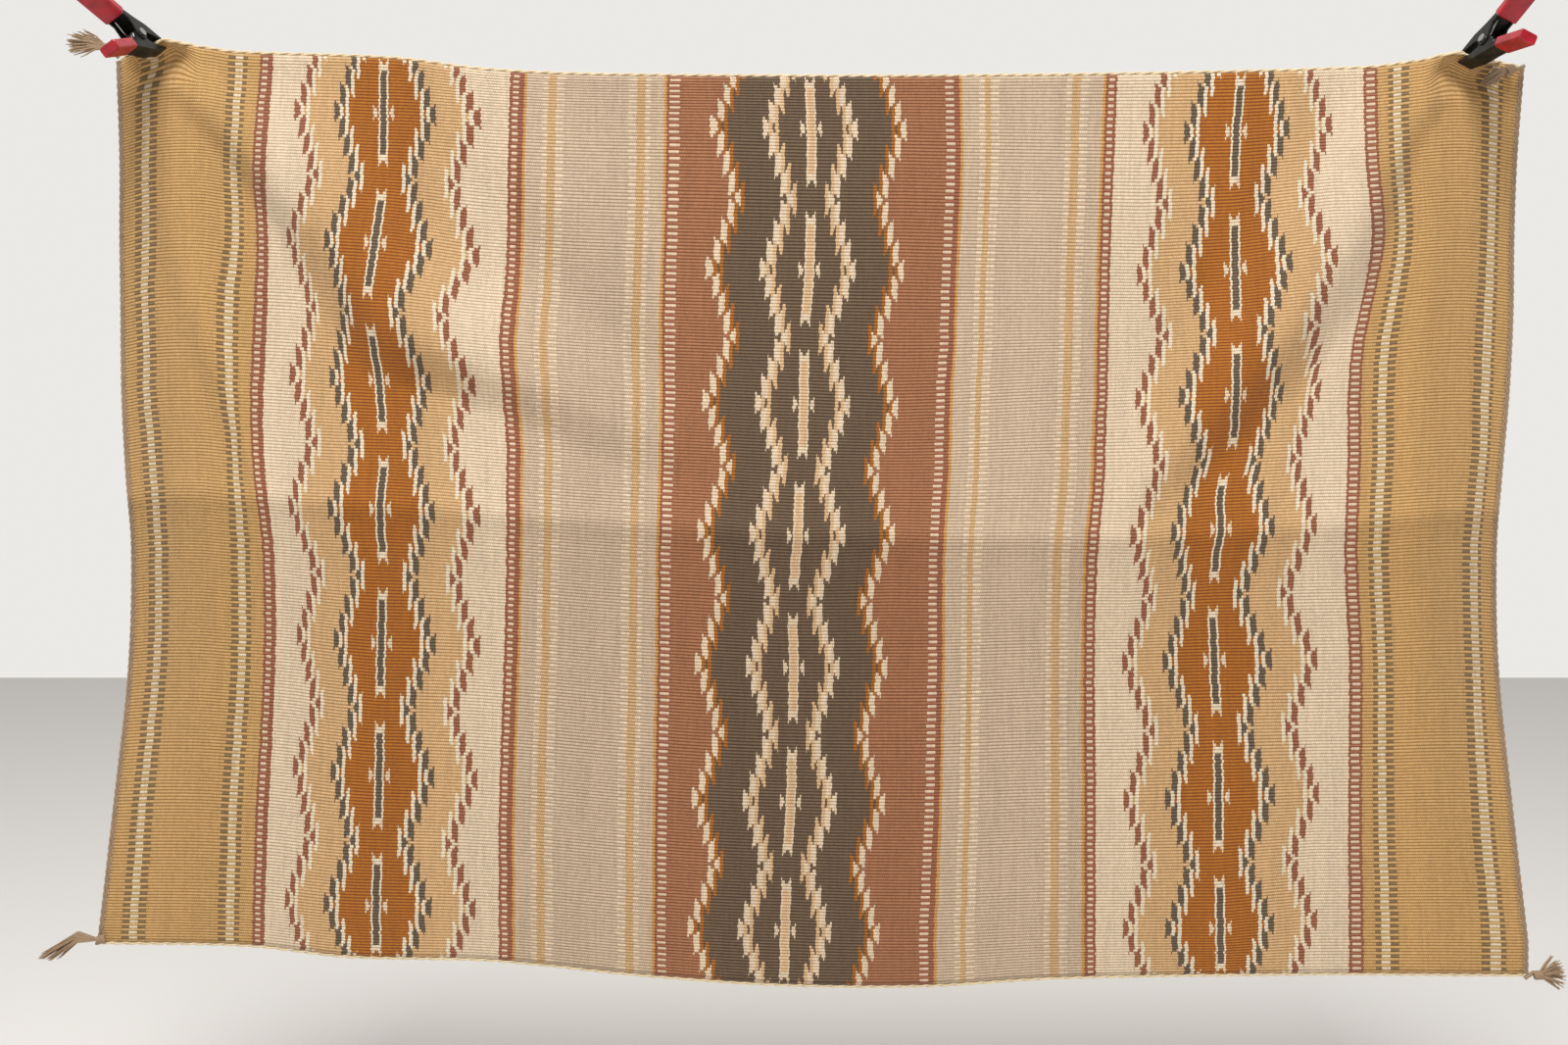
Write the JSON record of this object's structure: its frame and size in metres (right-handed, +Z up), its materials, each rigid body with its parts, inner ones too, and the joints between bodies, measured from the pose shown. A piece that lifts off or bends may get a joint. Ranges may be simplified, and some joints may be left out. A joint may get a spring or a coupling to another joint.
{
  "type": "navajo rug hung from two spring clamps",
  "caption": "Handwoven wool rug with banded stripes and serrated diamond columns, hung sideways in soft folds by spring clamps at its top corners, with corner tassels.",
  "frame": {"origin": "middle of the line between the two places where the clamps grip the rug", "axes": "+X along the rug to the right as seen from in front, +Y towards the wall, +Z up"},
  "size_m": [1.5454, 0.124, 1.0061],
  "materials": {
    "rug_wool": "weft-faced tapestry weave in ochre, cream, rust and grey-brown wool",
    "cream_cord": "plied cream wool",
    "taupe_cord": "twined taupe wool",
    "black_steel": "dark oiled pressed steel",
    "bright_steel": "bright spring steel",
    "red_vinyl": "dipped red vinyl"
  },
  "bodies": {
    "root": {"rug_sheet": "rug_wool", "edge_cord_top": "cream_cord", "edge_cord_bottom": "cream_cord", "end_cord_left": "taupe_cord", "end_cord_right": "taupe_cord", "tassel_bottom_left": "taupe_cord", "tassel_bottom_right": "taupe_cord", "tassel_top_left": "taupe_cord", "tassel_top_right": "taupe_cord", "clamp_left_front_lever": "black_steel", "clamp_left_back_lever": "black_steel", "clamp_left_pin": "bright_steel", "clamp_left_spring": "bright_steel", "clamp_left_front_grip": "red_vinyl", "clamp_left_back_grip": "red_vinyl", "clamp_right_front_lever": "black_steel", "clamp_right_back_lever": "black_steel", "clamp_right_pin": "bright_steel", "clamp_right_spring": "bright_steel", "clamp_right_front_grip": "red_vinyl", "clamp_right_back_grip": "red_vinyl"}
  },
  "joints": []
}
